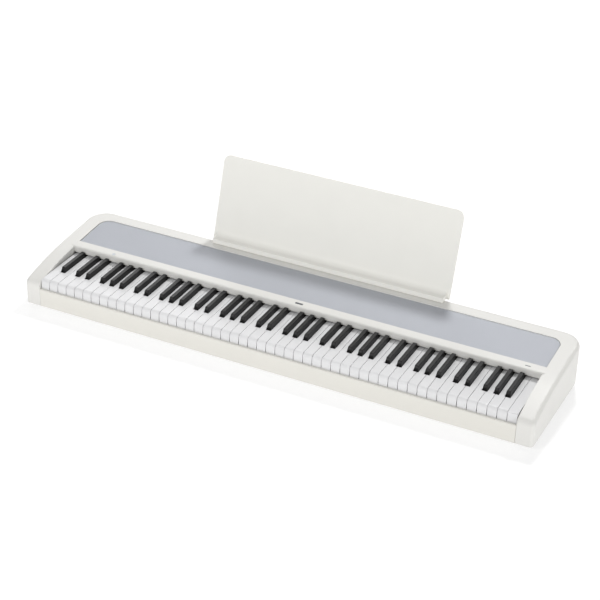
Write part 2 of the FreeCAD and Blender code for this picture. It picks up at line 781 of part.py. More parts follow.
def circuit_board(label, left, depth, wide, deep, chips):
    """A board on four standoffs, with the blocks that stand on it."""
    solids = [box((left, depth, "board_top + standoff"), (wide, deep, "circuit_board"))]
    for x in ("{} + standoff_inset".format(left), "{} - standoff_inset".format(left + wide)):
        for y in ("{} + standoff_inset".format(depth), "{} - standoff_inset".format(depth + deep)):
            solids.append(rod((x, y, "board_top"), "standoff_radius", "standoff + circuit_board / 2"))
    for x, y, dx, dy, dz in chips:
        solids.append(box((left + x, depth + y, "board_top + standoff + circuit_board / 2"), (dx, dy, dz)))
    gather(label, [fuse(solids)])


def socket(across, width, radius, depth):
    """A socket on the jack board, with a round barrel that ends flush in the rear wall."""
    body = middle_box(across, width, ("jack_panel", "jack_height - socket_height / 2"),
                      ("case_depth - wall - jack_panel", "socket_height"))
    barrel = rod((across, "case_depth - 2 * wall", "jack_height"), radius + " + barrel_wall", "2 * wall", "y")
    hole = rod((across, "case_depth - " + depth, "jack_height"), radius, CUT_THROUGH, "y")
    return cut(fuse([body, barrel]), [hole])


def make_electronics():
    circuit_board("main_board", *MAIN_BOARD)
    circuit_board("amplifier_board", *AMPLIFIER_BOARD)
    gather("jack_board", [box(("jack_board_left", "jack_panel - circuit_board", "jack_board_bottom"),
                              ("jack_board_width", "circuit_board", "jack_board_height"))])
    gather("phone_sockets", [socket(across, "phone_width", "phone_radius", "phone_depth")
                             for across in (PEDAL_X,) + PHONES_X])
    gather("power_inlet", [socket(POWER_X, "power_width", "power_radius", "power_depth")])


def make_controls():
    button = rod((0, 0, 0), "button_radius", "button_length")
    gather("power_button", [on_panel(button, "button_x", "button_depth", "button_stand - button_length")])
    skirt = rod((VOLUME_X, "case_depth + joint_gap", "jack_height"), "knob_radius", "knob_length", "y")
    stem = rod((VOLUME_X, "stem_start", "jack_height"), "stem_radius", "stem_length", "y")
    gather("volume_knob", [fuse([skirt, stem])])
    gather("sound_button", [rod((SOUND_X, "sound_start", "jack_height"), "sound_radius", "sound_length", "y")])


# ---------------------------------------------------------------- music rest

def make_music_rest():
    run = "tan(rest_lean)"
    face = "(overall_depth - rest_thickness * cos(rest_lean) - (rest_top - ({})) * " + run + ")"
    foot = "(case_height + rest_foot_gap)"
    plate = prism("rest_plate", "YZ_Plane", [
        (face.format(foot), foot), (face.format("rest_top"), "rest_top"),
        ("overall_depth", "rest_top - rest_thickness * sin(rest_lean)"),
        (face.format(foot) + " + rest_thickness / cos(rest_lean)", foot)], "2 * rest_half")
    round_edges(plate, "rest_corners", "rest_corner",
                lambda edge: near(abs(middle_of(edge).x), size("rest_half"))
                and near(edge.Length, size("rest_thickness")) and middle_of(edge).z > 200)
    ledge = prism("rest_ledge", "YZ_Plane", [
        ("ledge_front", panel_height("ledge_front") + " + ledge_clearance"), ("ledge_front", "ledge_top"),
        (face.format("ledge_top") + " + rest_overlap", "ledge_top"),
        (face.format(foot) + " + rest_overlap", foot)], "2 * ledge_half")
    tongues = [middle_box("{} * tongue_x".format(side), "tongue_width", ("tongue_front", "tongue_bottom"),
                          ("tongue_thickness", "ledge_top - 2 * rest_thickness - tongue_bottom"))
               for side in (-1, 1)]
    gather("music_rest", [fuse([plate, ledge] + tongues)])


# ---------------------------------------------------------------- build and write

def check(thing):
    if "Invalid" in thing.State or "Error" in thing.State:
        raise RuntimeError("{} did not recompute: {}".format(thing.Label, thing.State))


def write():
    doc.recompute()
    for thing in doc.Objects:
        check(thing)
    os.makedirs("parts", exist_ok=True)
    for piece in pieces:
        if piece.Shape.isNull() or not piece.Shape.isValid() or not piece.Shape.Solids:
            raise RuntimeError(piece.Label + " has no valid solid")
    for piece in pieces:
        piece.Shape.exportStep("parts/{}.step".format(piece.Label))
        print(piece.Label, len(piece.Shape.Solids), round(piece.Shape.Volume / 1000, 1), "cm3")


make_top_case()
make_bottom_board()
make_front_rail()
make_stand_inserts()
make_rubber_feet()
make_case_screws()
make_grille()
make_baffle()
make_speaker(-1, "left_speaker")
make_speaker(1, "right_speaker")
make_key_chassis()
make_pivots()
make_key_guides()
make_felts()
make_contacts()
make_keyboard()
make_electronics()
make_controls()
make_music_rest()
write()
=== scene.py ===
import json
import math

import bmesh
import bpy
from mathutils import Matrix, Vector

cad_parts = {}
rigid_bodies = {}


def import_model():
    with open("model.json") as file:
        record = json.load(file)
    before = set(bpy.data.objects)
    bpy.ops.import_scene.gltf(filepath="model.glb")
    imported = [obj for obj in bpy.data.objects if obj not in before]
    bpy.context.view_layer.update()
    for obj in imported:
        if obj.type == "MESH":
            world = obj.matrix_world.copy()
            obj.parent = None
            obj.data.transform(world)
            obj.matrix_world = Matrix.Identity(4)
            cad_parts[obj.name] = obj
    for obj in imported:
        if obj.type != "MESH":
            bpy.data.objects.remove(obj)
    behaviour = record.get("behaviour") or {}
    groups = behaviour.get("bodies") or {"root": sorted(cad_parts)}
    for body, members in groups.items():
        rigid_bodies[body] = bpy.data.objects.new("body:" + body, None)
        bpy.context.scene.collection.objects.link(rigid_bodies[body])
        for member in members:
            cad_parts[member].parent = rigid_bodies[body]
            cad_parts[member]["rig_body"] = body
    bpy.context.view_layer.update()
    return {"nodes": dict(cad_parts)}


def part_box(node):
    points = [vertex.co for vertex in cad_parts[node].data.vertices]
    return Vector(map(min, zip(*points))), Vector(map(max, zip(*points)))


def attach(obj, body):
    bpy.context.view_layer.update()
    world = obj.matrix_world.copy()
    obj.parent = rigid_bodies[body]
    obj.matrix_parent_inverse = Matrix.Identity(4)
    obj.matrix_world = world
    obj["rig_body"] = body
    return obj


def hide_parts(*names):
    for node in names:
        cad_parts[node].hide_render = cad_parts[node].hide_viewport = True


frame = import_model()

# A slab digital piano in white, with 88 keys, a blue-grey speaker grille and a
# lift-off music rest. Lengths are metres in the frame's own axes: X along the
# keyboard, Y towards the rear, Z up.

MM = 0.001


# ---------------------------------------------------------------- places read from the frame

CASE_LOW, CASE_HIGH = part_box("top_case")
GRILLE_LOW, GRILLE_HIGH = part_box("speaker_grille")
REST_LOW, REST_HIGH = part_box("music_rest")
WHITE_LOW, WHITE_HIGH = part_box("key_c4")
BLACK_LOW, BLACK_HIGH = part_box("key_c_sharp4")
NEXT_WHITE_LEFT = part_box("key_d4")[0].x

KEY_GAP = NEXT_WHITE_LEFT - WHITE_HIGH.x
KEY_PITCH = NEXT_WHITE_LEFT - WHITE_LOW.x
MIDDLE_C_EDGE = WHITE_LOW.x - KEY_GAP / 2

# The top panel rises in a straight slope from the crown of the cheeks to the rear edge,
# which is rounded off, so that the case's box ends a little lower than the panel's line.
PANEL_TOP = CASE_LOW.z + 106 * MM
CROWN_TOP = CASE_LOW.z + 87.6 * MM
CROWN_DEPTH = CASE_LOW.y + 96.6 * MM
PANEL_SLOPE = math.atan2(PANEL_TOP - CROWN_TOP, CASE_HIGH.y - CROWN_DEPTH)

# The strip behind the keys starts here, and the cheeks stand this far from the middle.
STRIP_FRONT = CASE_LOW.y + 158 * MM
CHEEK_WALL = 26 * KEY_PITCH + 1.2 * MM
BUTTON_DEPTH = CASE_LOW.y + 166 * MM
SOCKET_HEIGHT = CASE_LOW.z + 40 * MM


def panel_height(depth):
    """Height of the top panel's surface over a depth."""
    return PANEL_TOP - (CASE_HIGH.y - depth) * math.tan(PANEL_SLOPE)


def panel_frame(across, depth, lift=0.0):
    """The matrix that stands a piece on the sloping panel."""
    place = Matrix.Translation((across, depth, panel_height(depth)))
    return place @ Matrix.Rotation(PANEL_SLOPE, 4, "X") @ Matrix.Translation((0, 0, lift))


# ---------------------------------------------------------------- finishes

def tone(red, green, blue):
    """A colour from 0 to 255 display values, as the linear colour a shader takes."""
    def linear(value):
        share = value / 255
        return share / 12.92 if share <= 0.04045 else ((share + 0.055) / 1.055) ** 2.4
    return (linear(red), linear(green), linear(blue), 1.0)


def shade(colour, factor):
    """The same colour, lighter or darker by a factor."""
    return (colour[0] * factor, colour[1] * factor, colour[2] * factor, 1.0)


class Signal:
    """A shader socket that can be used in ordinary arithmetic."""

    def __init__(self, finish, socket):
        self.finish = finish
        self.socket = socket

    def __add__(self, other):
        return self.finish.math("ADD", self, other)

    __radd__ = __add__

    def __sub__(self, other):
        return self.finish.math("SUBTRACT", self, other)

    def __rsub__(self, other):
        return self.finish.math("SUBTRACT", other, self)

    def __mul__(self, other):
        return self.finish.math("MULTIPLY", self, other)

    __rmul__ = __mul__

    def __truediv__(self, other):
        return self.finish.math("DIVIDE", self, other)


class Finish:
    """A material built from expressions on Object coordinates."""

    def __init__(self, name):
        self.material = bpy.data.materials.new(name)
        self.material.use_nodes = True
        self.tree = self.material.node_tree
        self.surface = self.tree.nodes["Principled BSDF"]
        self.place = self.node("ShaderNodeTexCoord", {}, {}, "Object")

    def node(self, kind, settings, sockets, output=0):
        """Adds a node: its settings first, then the values or links of its sockets."""
        made = self.tree.nodes.new(kind)
        for name, value in settings.items():
            setattr(made, name, value)
        for name, value in sockets.items():
            self.feed(made.inputs[name], value)
        return Signal(self, made.outputs[output])

    def feed(self, socket, value):
        if isinstance(value, Signal):
            self.tree.links.new(value.socket, socket)
        else:
            socket.default_value = value

    def math(self, operation, first, second=0.0):
        return self.node("ShaderNodeMath", {"operation": operation}, {0: first, 1: second})

    def vector(self, operation, first, second=(0, 0, 0), output=0):
        settings = {"operation": operation}
        return self.node("ShaderNodeVectorMath", settings, {0: first, 1: second}, output)

    def blend(self, share, first, second):
        """A colour between two colours."""
        return self.node("ShaderNodeMix", {"data_type": "RGBA"}, {0: share, 6: first, 7: second}, 2)

    def noise(self, size, detail=2.0, stretch=(1, 1, 1)):
        """Soft noise from 0 to 1 whose blotches are about size metres across."""
        where = self.place
        if stretch != (1, 1, 1):
            where = self.vector("MULTIPLY", self.place, stretch)
        sockets = {"Vector": where, "Scale": 1 / size, "Detail": detail}
        return self.node("ShaderNodeTexNoise", {}, sockets, "Fac")

    def axis(self, name):
        return self.node("ShaderNodeSeparateXYZ", {}, {0: self.place}, name)

    def ramp(self, value, low, high):
        """Runs smoothly from 0 to 1 as the value goes from low to high."""
        return self.node("ShaderNodeMapRange", {"interpolation_type": "SMOOTHSTEP"},
                         {"Value": value, "From Min": low, "From Max": high})

    def bump(self, height, depth):
        """Raises the surface by up to depth metres where height is 1."""
        normal = self.node("ShaderNodeBump", {}, {"Height": height, "Distance": depth, "Strength": 1.0})
        self.set(Normal=normal)

    def set(self, **sockets):
        for name, value in sockets.items():
            self.feed(self.surface.inputs[name.replace("_", " ")], value)
        return self


def moulded(name, colour, shine, grain_size, grain_depth):
    """Moulded plastic: a fine grain, with slow drifts of tint and gloss."""
    finish = Finish(name)
    grain = finish.noise(grain_size, 3.0)
    drift = finish.noise(60 * MM, 2.0)
    smear = finish.noise(9 * MM, 4.0, (1, 0.35, 1))
    finish.set(Base_Color=finish.blend(drift, shade(colour, 0.985), shade(colour, 1.015)),
               Roughness=shine + (grain - 0.5) * 0.10 + (smear - 0.5) * 0.08,
               Specular_IOR_Level=0.45)
    finish.bump(grain, grain_depth)
    return finish


def key_plastic(name, colour, shine, grain_size, grain_depth, worn, reflection):
    """Key plastic: each key a little different in tint, and smoother where it is played."""
    finish = Finish(name)
    number = finish.math("FLOOR", (finish.axis("X") - MIDDLE_C_EDGE) / KEY_PITCH)
    lot = finish.node("ShaderNodeTexWhiteNoise", {"noise_dimensions": "1D"}, {"W": number}, "Value")
    grain = finish.noise(grain_size, 2.0)
    hands = finish.noise(14 * MM, 3.0)
    played = 1 - finish.ramp(finish.axis("Y"), WHITE_LOW.y + 20 * MM, WHITE_LOW.y + 120 * MM)
    finish.set(Base_Color=finish.blend(lot, shade(colour, 0.985), shade(colour, 1.015)),
               Roughness=shine + (grain - 0.5) * 0.06 + (hands - 0.5) * 0.10 - played * worn,
               Specular_IOR_Level=reflection)
    finish.bump(grain, grain_depth)
    return finish


def punched_sheet(name, colour, hole_colour):
    """Painted sheet punched with staggered rows of fine round holes."""
    finish = Finish(name)
    pitch, row = 1.6 * MM, 1.6 * MM * math.sqrt(3)
    hole = 0.42 * MM

    def distance(shift):
        cell = finish.vector("MULTIPLY", finish.place, (1 / pitch, 1 / row, 0))
        cell = finish.vector("ADD", cell, (shift, shift, 0.5))
        cell = finish.vector("FRACTION", cell)
        cell = finish.vector("SUBTRACT", cell, (0.5, 0.5, 0.5))
        cell = finish.vector("MULTIPLY", cell, (pitch, row, 0))
        return finish.vector("LENGTH", cell, output="Value")

    nearest = finish.math("MINIMUM", distance(0.25), distance(0.75))
    metal = finish.ramp(nearest, hole - 0.08 * MM, hole + 0.08 * MM)
    paint = finish.noise(0.35 * MM, 2.0)
    drift = finish.noise(45 * MM, 2.0)
    painted = finish.blend(drift, shade(colour, 0.985), shade(colour, 1.015))
    finish.set(Base_Color=finish.blend(metal, hole_colour, painted),
               Roughness=0.5 + (paint - 0.5) * 0.12 + (1 - metal) * 0.25,
               Metallic=0.12 * metal)
    finish.bump(metal * 0.9 + paint * 0.1, 0.12 * MM)
    return finish


def worked_metal(name, colour, shine, stretch):
    """Metal with fine tool marks drawn out along one direction."""
    finish = Finish(name)
    marks = finish.noise(0.25 * MM, 3.0, stretch)
    stain = finish.noise(12 * MM, 3.0)
    finish.set(Base_Color=finish.blend(stain, shade(colour, 0.9), colour),
               Roughness=shine + (marks - 0.5) * 0.2 + (stain - 0.5) * 0.1,
               Metallic=1.0)
    finish.bump(marks, 0.01 * MM)
    return finish


def pressed_felt(name, colour):
    """Dense wool felt with loose fibres."""
    finish = Finish(name)
    fibres = finish.noise(0.5 * MM, 5.0, (0.3, 1, 1))
    lumps = finish.noise(4 * MM, 2.0)
    finish.set(Base_Color=finish.blend(fibres, shade(colour, 0.6), shade(colour, 1.3)),
               Roughness=0.95 - lumps * 0.05,
               Sheen_Weight=0.4)
    finish.bump(fibres, 0.2 * MM)
    return finish


def rubber(name, colour):
    """Matt moulded rubber with a bloom of dust."""
    finish = Finish(name)
    grain = finish.noise(0.4 * MM, 3.0)
    dust = finish.ramp(finish.noise(7 * MM, 4.0), 0.45, 0.75)
    finish.set(Base_Color=finish.blend(dust * 0.35, colour, tone(110, 108, 104)),
               Roughness=0.78 + grain * 0.12)
    finish.bump(grain, 0.03 * MM)
    return finish


def paper_cone(name):
    """Pressed paper pulp, mottled and fibrous."""
    finish = Finish(name)
    pulp = finish.noise(1.1 * MM, 6.0)
    finish.set(Base_Color=finish.blend(pulp, tone(42, 42, 46), tone(88, 87, 88)),
               Roughness=0.85 + pulp * 0.1)
    finish.bump(pulp, 0.08 * MM)
    return finish


def circuit_board(name):
    """Green solder mask over copper tracks, with bare pads."""
    finish = Finish(name)
    cells = finish.node("ShaderNodeTexVoronoi", {"distance": "MANHATTAN", "feature": "F1"},
                        {"Vector": finish.place, "Scale": 1 / (5 * MM)}, "Distance")
    bands = finish.math("PINGPONG", cells, 0.11)
    track = finish.ramp(bands, 0.045, 0.06)
    spots = finish.node("ShaderNodeTexVoronoi", {},
                        {"Vector": finish.place, "Scale": 1 / (3.5 * MM)}, "Distance")
    pads = 1 - finish.ramp(spots, 0.13, 0.17)
    mask = finish.blend(track, tone(18, 86, 44), tone(34, 116, 62))
    finish.set(Base_Color=finish.blend(pads, mask, tone(214, 196, 150)),
               Roughness=0.35 - pads * 0.1,
               Metallic=pads * 0.9)
    finish.bump(track * 0.5 + pads, 0.03 * MM)
    return finish


FINISHES = {
    "case": moulded("case white", tone(224, 223, 219), 0.44, 0.45 * MM, 0.012 * MM),
    "rail": moulded("rail white", tone(225, 223, 216), 0.46, 0.45 * MM, 0.012 * MM),
    "underside": moulded("underside plastic", tone(206, 206, 203), 0.62, 0.9 * MM, 0.05 * MM),
    "rubber": rubber("foot rubber", tone(38, 38, 38)),
    "brass": worked_metal("turned brass", tone(205, 168, 96), 0.32, (1, 1, 0.08)),
    "screws": worked_metal("plated screws", tone(150, 150, 152), 0.34, (1, 1, 0.2)),
    "grille": punched_sheet("grille paint", tone(190, 193, 200), tone(124, 127, 135)),
    "inner_black": moulded("inner black", tone(32, 32, 33), 0.6, 0.6 * MM, 0.03 * MM),
    "speaker_steel": worked_metal("speaker steel", tone(52, 52, 55), 0.45, (1, 1, 0.3)),
    "paper_cone": paper_cone("speaker paper"),
    "inner_grey": moulded("inner grey", tone(150, 152, 154), 0.55, 0.8 * MM, 0.04 * MM),
    "aluminium": worked_metal("drawn aluminium", tone(198, 200, 203), 0.38, (0.02, 1, 1)),
    "shaft_steel": worked_metal("ground steel", tone(182, 182, 185), 0.22, (0.02, 1, 1)),
    "felt": pressed_felt("wool felt", tone(150, 38, 42)),
    "circuit_board": circuit_board("circuit board"),
    "silicone": rubber("grey silicone", tone(148, 150, 154)),
    "button_grey": moulded("button grey", tone(205, 208, 212), 0.35, 0.3 * MM, 0.006 * MM),
    "control_white": moulded("control white", tone(228, 228, 225), 0.38, 0.3 * MM, 0.006 * MM),
    # The rest's white is lighter than the case's to make up for the light the leaning plate misses: painted
    # light.
    "rest": moulded("rest white", tone(243, 242, 236), 0.5, 0.5 * MM, 0.015 * MM),
    "white_keys": key_plastic("white key", tone(226, 226, 227), 0.38, 0.5 * MM, 0.003 * MM, 0.05, 0.35),
    "black_keys": key_plastic("black key", tone(15, 15, 16), 0.4, 0.35 * MM, 0.012 * MM, 0.06, 0.28),
    "hammers": moulded("hammer plastic", tone(70, 70, 73), 0.55, 0.7 * MM, 0.03 * MM),
}
MARK_GREY = moulded("mark grey", tone(84, 86, 92), 0.5, 0.2 * MM, 0.004 * MM)


# ---------------------------------------------------------------- making pieces

MERGE = 0.001 * MM
FLAT = math.radians(0.4)
SHARP = math.radians(42)


def to_piece(mesh, name, slot, body, replaced=(), finish=None):
    """Turns a finished bmesh into a piece that rides on a body."""
    bmesh.ops.recalc_face_normals(mesh, faces=mesh.faces)
    data = bpy.data.meshes.new(name)
    mesh.to_mesh(data)
    mesh.free()
    data.shade_smooth()
    data.set_sharp_from_angle(angle=SHARP)
    data.materials.append((finish or FINISHES[slot]).material)
    piece = bpy.data.objects.new(name, data)
    bpy.context.scene.collection.objects.link(piece)
    normals = piece.modifiers.new("even normals", "WEIGHTED_NORMAL")
    normals.keep_sharp = True
    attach(piece, body)
    if replaced:
        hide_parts(*replaced)
    return piece


def round_over(mesh, edges, radius, steps=2):
    """Rounds edges with an arc of a few steps."""
    return bmesh.ops.bevel(mesh, geom=list(edges), offset=radius, offset_type="OFFSET", segments=steps,
                           profile=0.5, affect="EDGES", clamp_overlap=True, material=-1)


def body_of_node(node):
    return frame["nodes"][node]["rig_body"]


def copy_node(node):
    """A CAD node's mesh with its triangles joined up and its flat faces whole."""
    mesh = bmesh.new()
    mesh.from_mesh(frame["nodes"][node].data)
    bmesh.ops.remove_doubles(mesh, verts=mesh.verts, dist=MERGE)
    bmesh.ops.dissolve_limit(mesh, angle_limit=FLAT, verts=mesh.verts, edges=mesh.edges)
    return mesh


def anywhere(middle, run):
    return True


def standing(middle, run):
    return abs(run.z) > MERGE


def sharp_edges(mesh, test=anywhere):
    """Edges between faces at an angle, whose middle and run from end to end pass the test."""
    found = []
    for edge in mesh.edges:
        if len(edge.link_faces) == 2 and edge.calc_face_angle(0) > SHARP:
            first, last = edge.verts[0].co, edge.verts[1].co
            if test((first + last) / 2, last - first):
                found.append(edge)
    return found


def pull(mesh, faces, way):
    """Extrudes faces along a way and returns the vertices that moved."""
    made = bmesh.ops.extrude_face_region(mesh, geom=list(faces))["geom"]
    moved = [part for part in made if isinstance(part, bmesh.types.BMVert)]
    bmesh.ops.translate(mesh, vec=way, verts=moved)
    return moved


def block(low, high):
    """A box between two corners."""
    part = bmesh.new()
    low, high = Vector(low), Vector(high)
    bmesh.ops.create_cube(part, size=1.0)
    bmesh.ops.scale(part, vec=high - low, verts=part.verts)
    bmesh.ops.translate(part, vec=(low + high) / 2, verts=part.verts)
    return part


def slice_across(mesh, depth):
    """Cuts every face of a mesh that crosses a depth."""
    bmesh.ops.bisect_plane(mesh, geom=mesh.faces[:] + mesh.edges[:] + mesh.verts[:],
                           plane_co=(0, depth, 0), plane_no=(0, 1, 0), dist=MERGE)


def turned(section, place, steps=32):
    """A half section of (radius, height) points spun about Z, then put in its place."""
    part = bmesh.new()
    points = [part.verts.new((radius, 0, height)) for radius, height in section]
    edges = [part.edges.new(pair) for pair in zip(points, points[1:])]
    bmesh.ops.spin(part, geom=points + edges, cent=(0, 0, 0), axis=(0, 0, 1), angle=math.tau,
                   steps=steps, use_merge=True)
    bmesh.ops.remove_doubles(part, verts=part.verts, dist=MERGE)
    bmesh.ops.transform(part, matrix=place, verts=part.verts)
    return part


def combined(parts):
    """One bmesh from several."""
    whole = bmesh.new()
    for part in parts:
        data = bpy.data.meshes.new("part")
        part.to_mesh(data)
        part.free()
        whole.from_mesh(data)
        bpy.data.meshes.remove(data)
    return whole


# ---------------------------------------------------------------- case

STRIP_ROLL = 4 * MM
CHEEK_EDGE = 1.2 * MM
LOW_ON_CHEEK = CASE_LOW.z + 46 * MM


def make_case():
    """The upper case, with the strip's front edge rolled and the cheeks' inner edges eased."""
    mesh = copy_node("top_case")
    strip_top = panel_height(STRIP_FRONT)

    def on_strip_edge(middle, run):
        near = abs(middle.y - STRIP_FRONT) < 0.6 * MM and abs(middle.z - strip_top) < 1.5 * MM
        return near and abs(run.x) > 100 * MM

    def on_cheek_edge(middle, run):
        along_wall = abs(abs(middle.x) - CHEEK_WALL) < 0.5 * MM and abs(run.x) < 0.1 * MM
        outside = middle.z > LOW_ON_CHEEK or middle.y < CASE_LOW.y + 1 * MM
        return along_wall and outside and middle.y < STRIP_FRONT - 1 * MM

    round_over(mesh, sharp_edges(mesh, on_strip_edge), STRIP_ROLL, 5)
    round_over(mesh, sharp_edges(mesh, on_cheek_edge), CHEEK_EDGE, 3)
    to_piece(mesh, "case_shell", "case", "case", ["top_case"])


def make_rail():
    mesh = copy_node("front_rail")
    round_over(mesh, sharp_edges(mesh), 0.4 * MM)
    to_piece(mesh, "front_rail_cover", "rail", "case", ["front_rail"])


def make_underside():
    mesh = copy_node("bottom_board")
    to_piece(mesh, "underside_board", "underside", "case", ["bottom_board"])


GRILLE_CORNER = 28 * MM
GRILLE_THICKNESS = 1.2 * MM
GRILLE_SUNK = 3 * MM
GRILLE_INSET = 0.8 * MM


def make_grille():
    """The sheet over the speakers: square in front, with rounded corners behind."""
    mesh = bmesh.new()
    length = (GRILLE_HIGH.y - GRILLE_LOW.y) / math.cos(PANEL_SLOPE)
    width = 2 * (GRILLE_HIGH.x - GRILLE_INSET)
    corners = bmesh.ops.create_grid(mesh, x_segments=1, y_segments=1, size=0.5)["verts"]
    bmesh.ops.scale(mesh, vec=(width, length, 1), verts=corners)
    bmesh.ops.translate(mesh, vec=(0, length / 2, 0), verts=corners)
    rear = [vert for vert in corners if vert.co.y > length / 2]
    bmesh.ops.bevel(mesh, geom=rear, offset=GRILLE_CORNER, segments=14, profile=0.5,
                    affect="VERTICES", material=-1)
    pull(mesh, mesh.faces, (0, 0, GRILLE_THICKNESS))
    rim = [edge for edge in mesh.edges
           if all(abs(vert.co.z - GRILLE_THICKNESS) < MERGE for vert in edge.verts)]
    round_over(mesh, rim, 0.5 * MM)
    bmesh.ops.transform(mesh, matrix=panel_frame(0, GRILLE_LOW.y, -GRILLE_SUNK), verts=mesh.verts)
    to_piece(mesh, "grille_sheet", "grille", "case", ["speaker_grille"])


# ---------------------------------------------------------------- keys

NOTES = ["c", "c_sharp", "d", "d_sharp", "e", "f", "f_sharp", "g", "g_sharp", "a", "a_sharp", "b"]
WHITE_NOTES = [note for note in NOTES if not note.endswith("sharp")]

# The lowest A and the highest C, as octave and step in the octave. The keys of the
# single octave move one by one, and the others in groups.
FIRST_NOTE, LAST_NOTE = (0, 9), (8, 0)
SINGLE_OCTAVE = 4
OCTAVE = len(WHITE_NOTES) * KEY_PITCH
NOTCH = CASE_LOW.y + 59.4 * MM
BLACK_BACK = CASE_LOW.y + 155 * MM
BLACK_SLOT = BLACK_HIGH.x - BLACK_LOW.x + 1 * MM
BLACK_STEP = 3.5 * MM
BLACK_TOP_SHARE = 9.8 / 12.9
BLACK_FRONT_SLOPE = 6 * MM
LIP_RADIUS = 9 * MM
KEY_EDGE = 0.55 * MM
BLACK_EDGE = 1.1 * MM
BLACK_BOTTOM = WHITE_HIGH.z - 19.5 * MM
WHITE_BOTTOM = WHITE_HIGH.z - 21.5 * MM
SKIRT_DROP = 6 * MM
SKIRT_WALL = 2.5 * MM
SIDE_DRAFT = 0.4 * MM


def black_middle(note):
    low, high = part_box("key_{}{}".format(note, SINGLE_OCTAVE))
    return (low.x + high.x) / 2


BLACK_MIDDLES = {note: black_middle(note) for note in NOTES if note.endswith("sharp")}


def key_list():
    """Each key as (octave, note), from the lowest up."""
    keys = []
    for octave in range(FIRST_NOTE[0], LAST_NOTE[0] + 1):
        for step, note in enumerate(NOTES):
            if FIRST_NOTE <= (octave, step) <= LAST_NOTE:
                keys.append((octave, note))
    return keys


def on_lip(middle, run):
    return abs(middle.y - WHITE_LOW.y) < MERGE and abs(middle.z - WHITE_HIGH.z) < MERGE


def on_playing_side(middle, run):
    return middle.z > WHITE_BOTTOM + 1 * MM and middle.y < WHITE_HIGH.y - 1 * MM


def white_key(octave, note):
    """One white key: a wide head, and a tail cut away beside the black keys."""
    number = (octave, NOTES.index(note))
    shift = (octave - SINGLE_OCTAVE) * OCTAVE
    left = MIDDLE_C_EDGE + shift + WHITE_NOTES.index(note) * KEY_PITCH + KEY_GAP / 2
    right = left + KEY_PITCH - KEY_GAP
    before = NOTES[(NOTES.index(note) - 1) % len(NOTES)]
    after = NOTES[(NOTES.index(note) + 1) % len(NOTES)]
    tail_left, tail_right = left, right
    if before in BLACK_MIDDLES and number != FIRST_NOTE:
        tail_left = BLACK_MIDDLES[before] + shift + BLACK_SLOT / 2
    if after in BLACK_MIDDLES and number != LAST_NOTE:
        tail_right = BLACK_MIDDLES[after] + shift - BLACK_SLOT / 2
    outline = [(left, WHITE_LOW.y), (right, WHITE_LOW.y), (right, NOTCH), (tail_right, NOTCH),
               (tail_right, WHITE_HIGH.y), (tail_left, WHITE_HIGH.y), (tail_left, NOTCH), (left, NOTCH)]
    if tail_left == left:
        outline.remove((tail_left, NOTCH))
    if tail_right == right:
        outline.remove((tail_right, NOTCH))
    part = bmesh.new()
    part.faces.new([part.verts.new((x, y, WHITE_BOTTOM)) for x, y in outline])
    pull(part, part.faces, (0, 0, WHITE_HIGH.z - WHITE_BOTTOM))
    bmesh.ops.recalc_face_normals(part, faces=part.faces)

    # The front wall hangs lower than the rest, and the sides draw in towards the bottom.
    behind = WHITE_LOW.y + SKIRT_WALL
    slice_across(part, behind)
    strip = [face for face in part.faces if face.normal.z < -0.9 and face.calc_center_median().y < behind]
    pull(part, strip, (0, 0, -SKIRT_DROP))
    centre = (left + right) / 2
    for vert in part.verts:
        share = (WHITE_HIGH.z - vert.co.z) / (WHITE_HIGH.z - WHITE_BOTTOM + SKIRT_DROP)
        vert.co.x -= math.copysign(SIDE_DRAFT * share, vert.co.x - centre)
    bmesh.ops.dissolve_limit(part, angle_limit=FLAT, verts=part.verts, edges=part.edges)
    round_over(part, sharp_edges(part, on_lip), LIP_RADIUS, 6)
    round_over(part, sharp_edges(part, on_playing_side), KEY_EDGE)
    return part


def black_key(octave, note):
    """One black key: a tapered top on a narrow body that runs back under the case."""
    middle = BLACK_MIDDLES[note] + (octave - SINGLE_OCTAVE) * OCTAVE
    half = (BLACK_HIGH.x - BLACK_LOW.x) / 2
    shoulder = WHITE_HIGH.z - BLACK_STEP
    part = block((middle - half, BLACK_LOW.y, BLACK_BOTTOM), (middle + half, BLACK_HIGH.y, shoulder))
    slice_across(part, BLACK_BACK)
    base = [face for face in part.faces if face.normal.z > 0.9 and face.calc_center_median().y < BLACK_BACK]
    top = pull(part, base, (0, 0, BLACK_HIGH.z - shoulder))
    front = [vert for vert in top if vert.co.y < BLACK_BACK - MERGE]
    bmesh.ops.scale(part, vec=(BLACK_TOP_SHARE, 1, 1), space=Matrix.Translation((-middle, 0, 0)), verts=top)
    bmesh.ops.translate(part, vec=(0, BLACK_FRONT_SLOPE, 0), verts=front)
    round_over(part, {edge for vert in top for edge in vert.link_edges}, BLACK_EDGE, 3)
    return part


def make_keys():
    groups = {}
    for octave, note in key_list():
        colour = "black" if note in BLACK_MIDDLES else "white"
        node = "{}_{}_keys".format("bass" if octave < SINGLE_OCTAVE else "treble", colour)
        if octave == SINGLE_OCTAVE:
            node = "key_{}{}".format(note, octave)
        key = black_key(octave, note) if colour == "black" else white_key(octave, note)
        groups.setdefault((node, colour), []).append(key)
    for (node, colour), keys in groups.items():
        to_piece(combined(keys), node + "_cover", colour + "_keys", body_of_node(node), [node])


# ---------------------------------------------------------------- music rest

